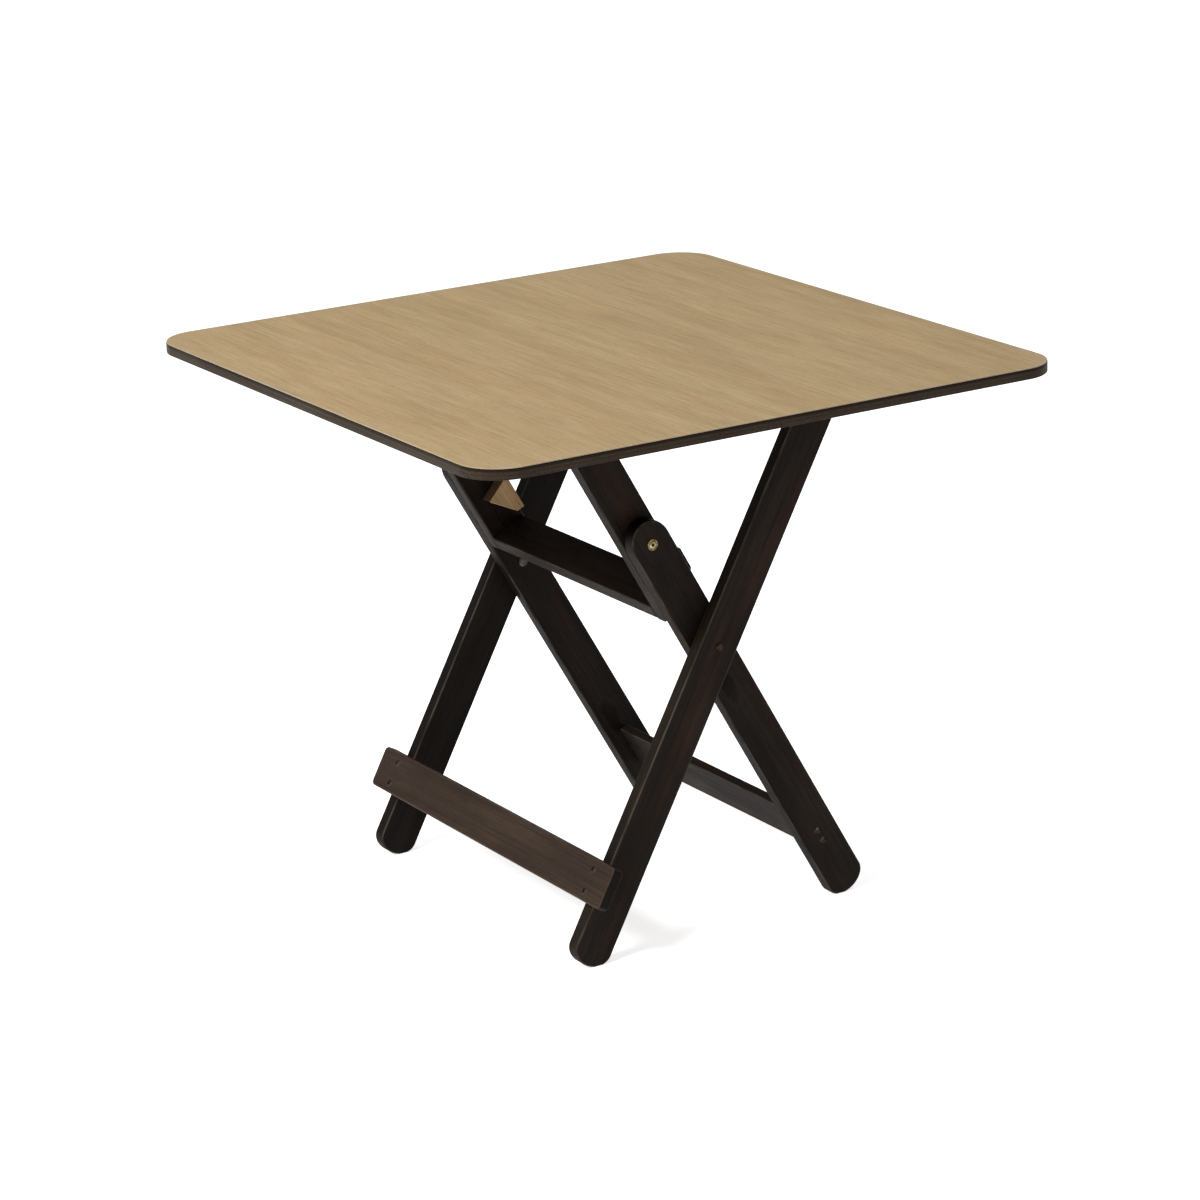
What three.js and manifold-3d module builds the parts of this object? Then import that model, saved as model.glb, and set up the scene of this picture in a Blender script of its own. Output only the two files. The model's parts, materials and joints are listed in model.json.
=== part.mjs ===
// A small square folding table with crossed wooden legs.
// Millimetres. +Z is up, the floor is z = 0 and the table's centre is x = y = 0.
// The front, with its low stretcher, faces -X. The table is symmetric left to right across y = 0.
//
// How it folds: the outer legs are hinged to a rail under the back of the top. The inner legs cross
// them on a bolt, and carry a pair of short struts on a knee joint. The struts are hinged to a rail
// under the front of the top. Lifting the knee lets everything fold flat against the top.

import * as THREE from 'three';
import { mergeVertices } from 'three/addons/utils/BufferGeometryUtils.js';
import Module from 'manifold-3d';

const wasm = await Module();
wasm.setup();

// ---------- driving dimensions ----------

const TOP_LENGTH = 600;          // along X
const TOP_WIDTH = 600;           // along Y
const TOP_HEIGHT = 510;          // floor to the top surface
const TOP_THICKNESS = 10.5;
const TOP_CORNER_RADIUS = 40;
const LAMINATE_THICKNESS = 0.8;
const EDGE_BAND_THICKNESS = 1.6;

const BOARD_WIDTH = 39.6;        // every leg and strut is the same planed board
const BOARD_THICKNESS = 13.6;
const EASED_EDGE = 0.8;          // small chamfer on every wooden edge

const OUTER_LEG_SPREAD = 362.6;  // between the outer faces of the outer legs
const OUTER_LEG_LEAN = 61.4;     // degrees up from the floor, rising towards the back
const INNER_LEG_LEAN = 60.4;     // degrees up from the floor, rising towards the front
const OUTER_FOOT_X = -143;       // where the outer legs' centre lines reach the floor
const INNER_FOOT_X = 159.7;
const FOOT_ROUND = 15;           // depth of the rounded foot
const FOOT_WEAR = 0.5;           // the foot is worn flat where it meets the floor
const KNEE_HEAD_REACH = 23.3;    // from the knee bolt to the top of the inner leg
const KNEE_HEAD_ROUND = 23;      // depth of that rounded end
const HINGE_DROP = 28.5;         // from the underside of the top down to the hinge bolts

const LAYER_GAP = 1.8;           // between neighbouring boards, filled by a washer
const GAP = 0.3;                 // between pieces that touch
const BOLT_RADIUS = 3;
const BORE_CLEARANCE = 0.35;

const RAIL_DEPTH = 42;           // hinge rails under the top
const RAIL_THICKNESS = 24;
const RAIL_SCREWS = 3;

const FRONT_STRETCHER_WIDTH = 39.4;
const FRONT_STRETCHER_THICKNESS = 10.6;
const FRONT_STRETCHER_RISE = 75.8;    // up the outer leg, from the floor point to its middle
const FRONT_STRETCHER_CORNER = 5;     // rounded corners
const FRONT_OVERHANG = 22.4;          // past the outer face of each outer leg

const BACK_STRETCHER_WIDTH = 44;
const BACK_STRETCHER_THICKNESS = 8.6;
const BACK_STRETCHER_RISE = 73;       // up the inner leg

const CROSSBAR_WIDTH = 37.4;
const CROSSBAR_THICKNESS = 13;
const CROSSBAR_DROP = 67.3;           // from the knee bolt down to the crossbar's upper face

const CLEAT_LENGTH = 36;              // stop cleats on the back edges of the struts
const CLEAT_THICKNESS = 4.6;
const CLEAT_TAPER = 7;                // sloping ends
const CLEAT_DROP = 20.4;              // from the knee bolt down to the cleat's upper end
const CLEAT_LAP = 5.2;                // how far a cleat reaches over the inner leg's edge

const BLOCK_DROP = 17;                // backing blocks inside the struts, opposite the cleats
const BLOCK_LENGTH = 37.8;
const BLOCK_WIDTH = 28;

const NAIL_HEAD_RADIUS = 2.2;
const NAIL_RADIUS = 1.1;
const NAIL_LENGTH = 28;

// ---------- materials ----------

function finish(color, roughness, metalness) {
  return () => new THREE.MeshStandardMaterial({ color, roughness, metalness });
}

const oakLaminate = finish('#b59468', 0.5, 0);
const darkEdge = finish('#2a201a', 0.55, 0);
const boardCore = finish('#4b3829', 0.8, 0);
const darkWood = finish('#33281f', 0.6, 0);
const brownWood = finish('#5f4a3c', 0.6, 0);
const paleWood = finish('#c09a70', 0.7, 0);
const steel = finish('#7d7c78', 0.4, 1);
const brass = finish('#b08d4c', 0.35, 1);
const darkSteel = finish('#3c3835', 0.55, 1);

// ---------- where everything sits ----------

const radians = THREE.MathUtils.degToRad;

// A point in the side view, which looks along Y: x towards the back, z up.
function point(x, z) {
  return new THREE.Vector2(x, z);
}

// A board's centre line in the side view. `up` runs along it and `back` points square to it,
// towards the back of the table.
function centreLine(footX, angle) {
  const up = point(Math.cos(angle), Math.sin(angle));
  return { foot: point(footX, 0), up, back: point(up.y, -up.x), angle };
}

function along(line, distance, offset = 0) {
  return line.foot.clone().addScaledVector(line.up, distance).addScaledVector(line.back, offset);
}

const outerLine = centreLine(OUTER_FOOT_X, radians(OUTER_LEG_LEAN));
const innerLine = centreLine(INNER_FOOT_X, radians(180 - INNER_LEG_LEAN));

const UNDERSIDE = TOP_HEIGHT - TOP_THICKNESS;
const hingeHeight = UNDERSIDE - HINGE_DROP;

const outerHingeAt = hingeHeight / outerLine.up.y;
const strutHingeAt = hingeHeight / innerLine.up.y;
const backHinge = along(outerLine, outerHingeAt);
const frontHinge = along(innerLine, strutHingeAt);

// The two centre lines cross where the legs are bolted together.
const footGap = INNER_FOOT_X - OUTER_FOOT_X;
const crossAngle = innerLine.angle - outerLine.angle;
const outerCrossAt = footGap * Math.sin(innerLine.angle) / Math.sin(crossAngle);
const innerCrossAt = footGap * Math.sin(outerLine.angle) / Math.sin(crossAngle);
const crossing = along(innerLine, innerCrossAt);

// The table folds flat only with the knee here: folded, all the hinges lie on one line.
const hingeSpan = backHinge.x - frontHinge.x;
const kneeAbove = (strutHingeAt - innerCrossAt + outerHingeAt - outerCrossAt - hingeSpan) / 2;
const kneeAt = innerCrossAt + kneeAbove;
const knee = along(innerLine, kneeAt);

// Layers across the width, from the outside in. Each has an outer and an inner face.
function layer(outerFace) {
  return { outer: outerFace, inner: outerFace - BOARD_THICKNESS };
}

const outerLayer = layer(OUTER_LEG_SPREAD / 2);
const innerLayer = layer(outerLayer.inner - LAYER_GAP);
const strutLayer = layer(innerLayer.inner - LAYER_GAP);

const HALF_BOARD = BOARD_WIDTH / 2;
const BORE_RADIUS = BOLT_RADIUS + BORE_CLEARANCE;

// ---------- solids: joining and cutting ----------

function toSolid(geometry) {
  const bare = geometry.clone();
  bare.deleteAttribute('normal');
  bare.deleteAttribute('uv');
  const merged = mergeVertices(bare, 1e-4);
  return new wasm.Manifold(new wasm.Mesh({
    numProp: 3,
    vertProperties: new Float32Array(merged.attributes.position.array),
    triVerts: new Uint32Array(merged.index.array),
  }));
}

function toGeometry(solid) {
  const mesh = solid.getMesh();
  const geometry = new THREE.BufferGeometry();
  geometry.setAttribute('position', new THREE.BufferAttribute(mesh.vertProperties, 3));
  geometry.setIndex(new THREE.BufferAttribute(mesh.triVerts, 1));
  return geometry;
}

function cut(geometry, cutters) {
  let solid = toSolid(geometry);
  for (const cutter of cutters) {
    solid = solid.subtract(toSolid(cutter));
  }
  return toGeometry(solid);
}

const group = new THREE.Group();
group.name = 'folding_tray_table';

function addNode(name, geometry, material) {
  const flat = geometry.index ? geometry.toNonIndexed() : geometry;
  flat.computeVertexNormals();
  const mesh = new THREE.Mesh(flat, material());
  mesh.name = name;
  group.add(mesh);
}

// ---------- shapes ----------

// A flat shape drawn in the side view and given a thickness from y = low to y = high.
function slab(shape, low, high, easing = EASED_EDGE, curveSegments = 12) {
  const geometry = new THREE.ExtrudeGeometry(shape, {
    depth: high - low - 2 * easing,
    bevelEnabled: easing > 0,
    bevelThickness: easing,
    bevelSize: easing,
    bevelOffset: -easing,
    bevelSegments: 1,
    curveSegments,
  });
  geometry.rotateX(Math.PI / 2);
  geometry.translate(0, high - easing, 0);
  return geometry;
}

// The outline of a board along a centre line, with an elliptical round of the given depth at each
// end. A round of 0 leaves the end square.
function boardShape(line, from, to, startRound, endRound) {
  const shape = new THREE.Shape();
  const steps = 20;
  const outline = [];
  for (let i = 0; i <= steps; i += 1) {
    const turn = Math.PI * i / steps;
    outline.push(along(line, from + startRound * (1 - Math.sin(turn)), -HALF_BOARD * Math.cos(turn)));
  }
  for (let i = 0; i <= steps; i += 1) {
    const turn = Math.PI * i / steps;
    outline.push(along(line, to - endRound * (1 - Math.sin(turn)), HALF_BOARD * Math.cos(turn)));
  }
  const corners = outline.filter((_, i) => {
    const half = i <= steps ? i : i - steps - 1;
    const round = i <= steps ? startRound : endRound;
    return round > 0 || half === 0 || half === steps;
  });
  shape.setFromPoints(corners);
  return shape;
}

// How far up its centre line a leg's rounded tip is, so that the foot reaches just past the floor.
function footTip(line) {
  const reach = Math.hypot(FOOT_ROUND * line.up.y, HALF_BOARD * line.up.x);
  return (reach - FOOT_WEAR) / line.up.y - FOOT_ROUND;
}

// Everything below the floor, which trims the feet flat.
const belowFloor = new THREE.BoxGeometry(TOP_LENGTH * 2, TOP_WIDTH * 2, 20).translate(0, 0, -10);

// A solid turned about an axis parallel to Y. The profile is a list of [distance out, radius].
// side is +1 for the left of the table and -1 for the right.
function turned(profile, centre, side, segments = 24) {
  const points = profile.map(([out, radius]) => point(radius, out));
  const geometry = new THREE.LatheGeometry(points, segments);
  if (side < 0) geometry.rotateX(Math.PI);
  geometry.translate(centre.x, 0, centre.y);
  return geometry;
}

// A round hole through a board, drawn slightly large so that its flats clear a round bolt.
function bore(centre, radius, low, high, side, segments = 24) {
  const wall = radius / Math.cos(Math.PI / segments);
  return turned([[low, 0], [low, wall], [high, wall], [high, 0]], centre, side, segments);
}

function ring(centre, innerRadius, outerRadius, low, high, side) {
  const profile = [
    [low, innerRadius], [low, outerRadius], [high, outerRadius], [high, innerRadius], [low, innerRadius],
  ];
  return turned(profile, centre, side);
}

// A plain turned pin with its axis along any direction: a nail or screw with a flat head.
// start is the middle of the head's outer face.
function nail(start, direction, headRadius, headDepth, shankRadius, length) {
  const profile = [
    [0, 0], [0, headRadius], [headDepth, headRadius], [headDepth, shankRadius],
    [length - shankRadius * 2, shankRadius], [length, 0],
  ];
  const geometry = new THREE.LatheGeometry(profile.map(([d, r]) => point(r, d)), 16);
  const turn = new THREE.Quaternion().setFromUnitVectors(new THREE.Vector3(0, 1, 0), direction);
  geometry.applyQuaternion(turn);
  geometry.translate(start.x, start.y, start.z);
  return geometry;
}

// The hole such a nail sits in.
function nailHole(start, direction, headRadius, headDepth, shankRadius, length) {
  const room = GAP;
  const outside = start.clone().addScaledVector(direction, -8);
  return nail(outside, direction, headRadius + room, headDepth + 8 + room, shankRadius + room, length + 8 + 2);
}

const sides = [
  { label: 'left', sign: 1 },
  { label: 'right', sign: -1 },
];

// Gives the two y values of a layer on one side, lowest first.
function span(layerFaces, sign) {
  const values = [layerFaces.outer * sign, layerFaces.inner * sign];
  return values[0] < values[1] ? values : [values[1], values[0]];
}

function at(sidePoint, y) {
  return new THREE.Vector3(sidePoint.x, y, sidePoint.y);
}

// ---------- the top ----------

function roundedRectangle(length, width, radius) {
  const x = length / 2;
  const y = width / 2;
  const shape = new THREE.Shape();
  shape.moveTo(-x + radius, -y);
  shape.lineTo(x - radius, -y);
  shape.absarc(x - radius, -y + radius, radius, -Math.PI / 2, 0, false);
  shape.lineTo(x, y - radius);
  shape.absarc(x - radius, y - radius, radius, 0, Math.PI / 2, false);
  shape.lineTo(-x + radius, y);
  shape.absarc(-x + radius, y - radius, radius, Math.PI / 2, Math.PI, false);
  shape.lineTo(-x, -y + radius);
  shape.absarc(-x + radius, -y + radius, radius, Math.PI, Math.PI * 1.5, false);
  return shape;
}

function sheet(inset, low, high) {
  const shape = roundedRectangle(TOP_LENGTH - 2 * inset, TOP_WIDTH - 2 * inset, TOP_CORNER_RADIUS - inset);
  const geometry = new THREE.ExtrudeGeometry(shape, {
    depth: high - low, bevelEnabled: false, curveSegments: 16,
  });
  geometry.translate(0, 0, low);
  return geometry;
}

const laminateBottom = TOP_HEIGHT - LAMINATE_THICKNESS;
const coreTop = laminateBottom - GAP;

addNode('tabletop_laminate', sheet(GAP, laminateBottom, TOP_HEIGHT), oakLaminate);
addNode('tabletop_edge_band', cut(
  sheet(0, UNDERSIDE, coreTop),
  [sheet(EDGE_BAND_THICKNESS, UNDERSIDE - 5, coreTop + 5)],
), darkEdge);

// Rail screws go up through the rails into the core of the top.
const railTop = UNDERSIDE - GAP;
const railBottom = railTop - RAIL_DEPTH;
const screwSink = 14;
const screwBite = 6.5;
const up = new THREE.Vector3(0, 0, 1);
const screwLength = RAIL_DEPTH - screwSink + GAP + screwBite;

function railScrewStarts(railX, railLength) {
  const starts = [];
  for (let i = 0; i < RAIL_SCREWS; i += 1) {
    const y = (i - (RAIL_SCREWS - 1) / 2) * (railLength - 90) / (RAIL_SCREWS - 1);
    starts.push(new THREE.Vector3(railX, y, railBottom + screwSink));
  }
  return starts;
}

const rails = [
  { name: 'back_hinge_rail', hinge: backHinge, length: 2 * (outerLayer.inner - LAYER_GAP) },
  { name: 'front_hinge_rail', hinge: frontHinge, length: 2 * (strutLayer.inner - LAYER_GAP) },
];
const screwSize = { head: 4, depth: 2.4, shank: 2 };
const coreHoles = [];

for (const rail of rails) {
  const half = RAIL_THICKNESS / 2;
  const shape = new THREE.Shape([
    point(rail.hinge.x - half, railBottom), point(rail.hinge.x + half, railBottom),
    point(rail.hinge.x + half, railTop), point(rail.hinge.x - half, railTop),
  ]);
  const holes = [];
  railScrewStarts(rail.hinge.x, rail.length).forEach((start, i) => {
    const { head, depth, shank } = screwSize;
    holes.push(nailHole(start, up, head, depth, shank, screwLength));
    holes.push(nailHole(start.clone().addScaledVector(up, -8), up, head, depth, shank, 8));
    coreHoles.push(nailHole(start, up, head, depth, shank, screwLength));
    addNode(`${rail.name}_screw_${i + 1}`, nail(start, up, head, depth, shank, screwLength), steel);
  });
  for (const side of sides) {
    const end = rail.length / 2;
    holes.push(bore(rail.hinge, BORE_RADIUS, end - 26, end + 5, side.sign));
  }
  addNode(rail.name, cut(slab(shape, -rail.length / 2, rail.length / 2), holes), darkWood);
}

addNode('tabletop_board', cut(
  sheet(EDGE_BAND_THICKNESS + GAP, UNDERSIDE, coreTop),
  coreHoles,
), boardCore);

// ---------- boards on each side ----------

const washerThickness = LAYER_GAP - 2 * GAP;
const washerRadius = 8;

// Front stretcher: nailed across the front edges of the outer legs.
const frontNailDirection = at(outerLine.back, 0);
const frontStretcherFace = -(HALF_BOARD + GAP + FRONT_STRETCHER_THICKNESS);

function frontNailStart(side, rise) {
  const y = side.sign * (outerLayer.outer + outerLayer.inner) / 2;
  return at(along(outerLine, FRONT_STRETCHER_RISE + rise, frontStretcherFace + 0.4), y);
}

// Back stretcher: between the inner legs, nailed through their faces.
const backNailSink = 0.4;

function backNailStart(side, rise) {
  return at(along(innerLine, BACK_STRETCHER_RISE + rise), side.sign * (innerLayer.outer - backNailSink));
}

// Crossbar: between the struts, at their lower ends, nailed the same way.
const crossbarTop = kneeAt - CROSSBAR_DROP;
const crossbarMiddle = crossbarTop - CROSSBAR_THICKNESS / 2;

function crossbarNailStart(side, offset) {
  return at(along(innerLine, crossbarMiddle, offset), side.sign * (strutLayer.outer - backNailSink));
}

function inward(side) {
  return new THREE.Vector3(0, -side.sign, 0);
}

const nailArgs = [NAIL_HEAD_RADIUS, 0.9, NAIL_RADIUS, NAIL_LENGTH];
const frontNailRises = [-10.3, 10.3];
const backNailRises = [-6, 6];
const crossbarNailOffsets = [-9, 7];

for (const side of sides) {
  const { label, sign } = side;

  // Outer leg, from the floor to the back hinge.
  const outerShape = boardShape(
    outerLine, footTip(outerLine), outerHingeAt + HALF_BOARD, FOOT_ROUND, HALF_BOARD,
  );
  const outerCuts = [
    belowFloor,
    bore(backHinge, BORE_RADIUS, 0, outerLayer.outer + 5, sign),
    bore(crossing, BORE_RADIUS, 0, outerLayer.outer + 5, sign),
  ];
  for (const rise of frontNailRises) {
    outerCuts.push(nailHole(frontNailStart(side, rise), frontNailDirection, ...nailArgs));
  }
  addNode(`outer_leg_${label}`, cut(slab(outerShape, ...span(outerLayer, sign)), outerCuts), darkWood);

  // Inner leg, from the floor to just past the knee.
  const innerShape = boardShape(
    innerLine, footTip(innerLine), kneeAt + KNEE_HEAD_REACH, FOOT_ROUND, KNEE_HEAD_ROUND,
  );
  const innerCuts = [
    belowFloor,
    bore(knee, BORE_RADIUS, 0, innerLayer.outer + 5, sign),
    bore(crossing, BORE_RADIUS, 0, innerLayer.outer + 5, sign),
  ];
  for (const rise of backNailRises) {
    innerCuts.push(nailHole(backNailStart(side, rise), inward(side), ...nailArgs));
  }
  addNode(`inner_leg_${label}`, cut(slab(innerShape, ...span(innerLayer, sign)), innerCuts), darkWood);

  // Strut, from the underside of the crossbar past the knee to the front hinge.
  const strutShape = boardShape(
    innerLine, crossbarTop - CROSSBAR_THICKNESS, strutHingeAt + HALF_BOARD, 0, HALF_BOARD,
  );
  const sinkProfile = [
    [strutLayer.outer - 3.4, 0], [strutLayer.outer - 3.4, BORE_RADIUS],
    [strutLayer.outer + 1, BORE_RADIUS + 4.4], [strutLayer.outer + 1, 0],
  ];
  const strutCuts = [
    bore(knee, BORE_RADIUS, 0, strutLayer.outer + 5, sign),
    bore(frontHinge, BORE_RADIUS, 0, strutLayer.outer + 5, sign),
    turned(sinkProfile, frontHinge, sign),
  ];
  for (const offset of crossbarNailOffsets) {
    strutCuts.push(nailHole(crossbarNailStart(side, offset), inward(side), ...nailArgs));
  }
  addNode(`strut_${label}`, cut(slab(strutShape, ...span(strutLayer, sign)), strutCuts), darkWood);

  // Stop cleat on the strut's back edge, just below the knee. It laps over the inner leg's edge, so
  // that the knee can straighten but not bend the wrong way.
  const cleatTop = kneeAt - CLEAT_DROP;
  const cleatBottom = cleatTop - CLEAT_LENGTH;
  const cleatFace = HALF_BOARD + GAP;
  const cleatShape = new THREE.Shape([
    along(innerLine, cleatBottom, cleatFace),
    along(innerLine, cleatBottom + CLEAT_TAPER, cleatFace + CLEAT_THICKNESS),
    along(innerLine, cleatTop - CLEAT_TAPER, cleatFace + CLEAT_THICKNESS),
    along(innerLine, cleatTop, cleatFace),
  ]);
  const cleatLayer = { outer: innerLayer.inner + CLEAT_LAP, inner: strutLayer.inner };
  addNode(`stop_cleat_${label}`, slab(cleatShape, ...span(cleatLayer, sign), 0.5), darkWood);

  // Backing block of bare wood on the strut's inner face, an offcut sawn at a slant. The cleat's
  // nails go into it.
  const blockTop = kneeAt - BLOCK_DROP;
  const blockBottom = blockTop - BLOCK_LENGTH;
  const blockEdge = HALF_BOARD - 0.2;
  const blockShape = new THREE.Shape([
    along(innerLine, blockBottom, blockEdge),
    along(innerLine, blockTop, blockEdge),
    along(innerLine, blockTop - 10, blockEdge - BLOCK_WIDTH),
    along(innerLine, blockBottom + 0.5, blockEdge - 8.3),
  ]);
  const blockLayer = layer(strutLayer.inner - GAP);
  addNode(`backing_block_${label}`, slab(blockShape, ...span(blockLayer, sign), 0.6), paleWood);

  // Cross bolt: a low dome inside the inner leg, and a flush riveted end outside the outer leg.
  const domeBase = innerLayer.inner - GAP;
  addNode(`cross_bolt_${label}`, turned([
    [domeBase - 1.2, 0], [domeBase - 1.1, 2.4], [domeBase - 0.6, 4.6], [domeBase - 0.2, 5.2],
    [domeBase, 5.2], [domeBase, BOLT_RADIUS], [outerLayer.outer + GAP, BOLT_RADIUS],
    [outerLayer.outer + GAP, 4.2], [outerLayer.outer + GAP + 0.5, 4.0], [outerLayer.outer + GAP + 0.9, 0],
  ], crossing, sign), steel);
  addNode(`cross_washer_${label}`, ring(
    crossing, BORE_RADIUS, washerRadius,
    innerLayer.outer + GAP, innerLayer.outer + GAP + washerThickness, sign,
  ), darkSteel);

  // Knee bolt: a hollow brass rivet in the inner leg, and its closing cap in the strut.
  const kneeHead = innerLayer.outer + GAP;
  addNode(`knee_bolt_${label}`, turned([
    [innerLayer.inner + 0.2, 0], [innerLayer.inner + 0.2, BOLT_RADIUS], [kneeHead, BOLT_RADIUS],
    [kneeHead, 5.3], [kneeHead + 0.5, 5.1], [kneeHead + 1, 4.2], [kneeHead + 1, 2.2],
    [kneeHead - 0.6, 1.6], [kneeHead - 0.6, 0],
  ], knee, sign), brass);
  addNode(`knee_washer_${label}`, ring(
    knee, BORE_RADIUS, washerRadius,
    strutLayer.outer + GAP, strutLayer.outer + GAP + washerThickness, sign,
  ), darkSteel);
  const capFace = strutLayer.inner - GAP;
  addNode(`knee_cap_${label}`, turned([
    [capFace - 2.4, 0], [capFace - 2.2, 3.4], [capFace - 1.2, 5.6], [capFace, 6],
    [capFace, BOLT_RADIUS], [strutLayer.outer - 0.2, BOLT_RADIUS], [strutLayer.outer - 0.2, 0],
  ], knee, sign), steel);

  // Back hinge: a bolt through the outer leg into the end of its rail.
  const hingeHead = outerLayer.outer + GAP;
  addNode(`back_hinge_bolt_${label}`, turned([
    [outerLayer.inner - 24, 0], [outerLayer.inner - 22, BOLT_RADIUS], [hingeHead, BOLT_RADIUS],
    [hingeHead, 6.5], [hingeHead + 1.4, 5.8], [hingeHead + 2.8, 3.4], [hingeHead + 3.2, 0],
  ], backHinge, sign), steel);
  addNode(`back_hinge_washer_${label}`, ring(
    backHinge, BORE_RADIUS, washerRadius,
    outerLayer.inner - GAP - washerThickness, outerLayer.inner - GAP, sign,
  ), darkSteel);

  // Front hinge: a countersunk screw through the strut into the end of its rail.
  const flush = strutLayer.outer - 0.2;
  addNode(`front_hinge_screw_${label}`, turned([
    [strutLayer.inner - 24, 0], [strutLayer.inner - 22, BOLT_RADIUS], [flush - 3.2, BOLT_RADIUS],
    [flush - 0.5, BOLT_RADIUS + 2.7], [flush, BOLT_RADIUS + 2.7], [flush, 0],
  ], frontHinge, sign), steel);
  addNode(`front_hinge_washer_${label}`, ring(
    frontHinge, BORE_RADIUS, washerRadius,
    strutLayer.inner - GAP - washerThickness, strutLayer.inner - GAP, sign,
  ), darkSteel);
}

// ---------- boards across the width ----------

// A board across the table, its wide face square to the side view's `back` direction, centred on
// a point up the line. Its thickness starts at `offset` and goes back.
function plank(line, rise, width, halfLength, offset, thickness, corner) {
  const shape = roundedRectangle(width, 2 * halfLength, corner);
  const geometry = new THREE.ExtrudeGeometry(shape, {
    depth: thickness - 2 * EASED_EDGE,
    bevelThickness: EASED_EDGE,
    bevelSize: EASED_EDGE,
    bevelOffset: -EASED_EDGE,
    bevelSegments: 1,
    curveSegments: 6,
  });
  geometry.translate(0, 0, EASED_EDGE);
  const place = new THREE.Matrix4().makeBasis(
    at(line.up, 0), new THREE.Vector3(0, 1, 0), at(line.back, 0).negate(),
  );
  place.setPosition(at(along(line, rise, offset + thickness), 0));
  return geometry.applyMatrix4(place);
}

const frontHoles = [];
const backHoles = [];
const crossbarHoles = [];
for (const side of sides) {
  frontNailRises.forEach((rise, i) => {
    const start = frontNailStart(side, rise);
    frontHoles.push(nailHole(start, frontNailDirection, ...nailArgs));
    addNode(`front_nail_${side.label}_${i + 1}`, nail(start, frontNailDirection, ...nailArgs), darkSteel);
  });
  backNailRises.forEach((rise, i) => {
    const start = backNailStart(side, rise);
    backHoles.push(nailHole(start, inward(side), ...nailArgs));
    addNode(`back_nail_${side.label}_${i + 1}`, nail(start, inward(side), ...nailArgs), darkSteel);
  });
  crossbarNailOffsets.forEach((offset, i) => {
    const start = crossbarNailStart(side, offset);
    crossbarHoles.push(nailHole(start, inward(side), ...nailArgs));
    addNode(`crossbar_nail_${side.label}_${i + 1}`, nail(start, inward(side), ...nailArgs), darkSteel);
  });
}

addNode('front_stretcher', cut(plank(
  outerLine, FRONT_STRETCHER_RISE, FRONT_STRETCHER_WIDTH, outerLayer.outer + FRONT_OVERHANG,
  frontStretcherFace, FRONT_STRETCHER_THICKNESS, FRONT_STRETCHER_CORNER,
), frontHoles), brownWood);

addNode('back_stretcher', cut(plank(
  innerLine, BACK_STRETCHER_RISE, BACK_STRETCHER_WIDTH, innerLayer.inner - GAP,
  -BACK_STRETCHER_THICKNESS / 2, BACK_STRETCHER_THICKNESS, 1,
), backHoles), darkWood);

// The crossbar lies the other way, its wide face square to the struts.
const crossbarFront = -HALF_BOARD;
const crossbarShape = new THREE.Shape([
  along(innerLine, crossbarTop - CROSSBAR_THICKNESS, crossbarFront),
  along(innerLine, crossbarTop - CROSSBAR_THICKNESS, crossbarFront + CROSSBAR_WIDTH),
  along(innerLine, crossbarTop, crossbarFront + CROSSBAR_WIDTH),
  along(innerLine, crossbarTop, crossbarFront),
]);
addNode('crossbar', cut(
  slab(crossbarShape, -strutLayer.inner + GAP, strutLayer.inner - GAP),
  crossbarHoles,
), darkWood);

export default group;
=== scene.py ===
# %% [markdown]
# # A folding table in stained wood
# This lesson dresses a small folding table. Its measured parts come from a frame that is already
# packed, and nothing here changes their size. We cut each board again with softly rounded edges,
# turn each bolt and nail on an imaginary lathe, and then mix a finish for every material.

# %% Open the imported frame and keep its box
import json
import math
import random

import bmesh
import bpy
import numpy as np
from mathutils import Matrix, Vector


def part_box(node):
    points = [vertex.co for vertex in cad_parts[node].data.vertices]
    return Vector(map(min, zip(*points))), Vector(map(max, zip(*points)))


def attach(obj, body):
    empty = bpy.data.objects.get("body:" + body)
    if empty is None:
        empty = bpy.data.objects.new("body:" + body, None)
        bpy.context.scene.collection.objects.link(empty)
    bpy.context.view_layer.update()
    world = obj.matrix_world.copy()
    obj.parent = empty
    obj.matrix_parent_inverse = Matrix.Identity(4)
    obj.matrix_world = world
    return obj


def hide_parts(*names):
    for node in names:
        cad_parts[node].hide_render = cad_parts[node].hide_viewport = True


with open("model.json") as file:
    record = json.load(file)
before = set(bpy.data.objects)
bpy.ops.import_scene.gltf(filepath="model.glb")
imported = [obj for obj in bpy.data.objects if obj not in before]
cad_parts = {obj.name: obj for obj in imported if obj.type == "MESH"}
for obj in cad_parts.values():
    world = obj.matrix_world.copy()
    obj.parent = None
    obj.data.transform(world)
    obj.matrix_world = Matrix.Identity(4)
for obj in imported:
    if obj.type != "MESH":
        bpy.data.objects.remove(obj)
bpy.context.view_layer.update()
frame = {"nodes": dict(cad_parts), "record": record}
bpy.context.scene.view_settings.view_transform = "Standard"
random.seed(7)

# %% [markdown]
# ## Directions of the boards
# The table is two crossed pairs of legs. Everything on it runs along one of two slanted lines, so
# we need those two directions before anything else. We could type in angles, but the frame
# already knows where the hinges are, and a line through two hinges gives them exactly.

# %% Find the two slanted lines from the joints
joint_at = {joint["name"]: Vector(joint["pos_m"]) for joint in frame["record"]["behaviour"]["joints"]}
crossing = joint_at["inner_leg_swing"]
SIDEWAYS = Vector((0, 1, 0))
BACKWARDS = Vector((1, 0, 0))
UPWARDS = Vector((0, 0, 1))
outer_up = (joint_at["top_fold"] - crossing).normalized()
inner_up = (joint_at["strut_swing"] - crossing).normalized()
outer_back = SIDEWAYS.cross(outer_up)
inner_back = SIDEWAYS.cross(inner_up)
print("outer legs lean", round(math.degrees(math.atan2(outer_up.z, outer_up.x)), 2), "degrees")
print("inner legs lean", round(math.degrees(math.atan2(inner_up.z, -inner_up.x)), 2), "degrees")

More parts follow.
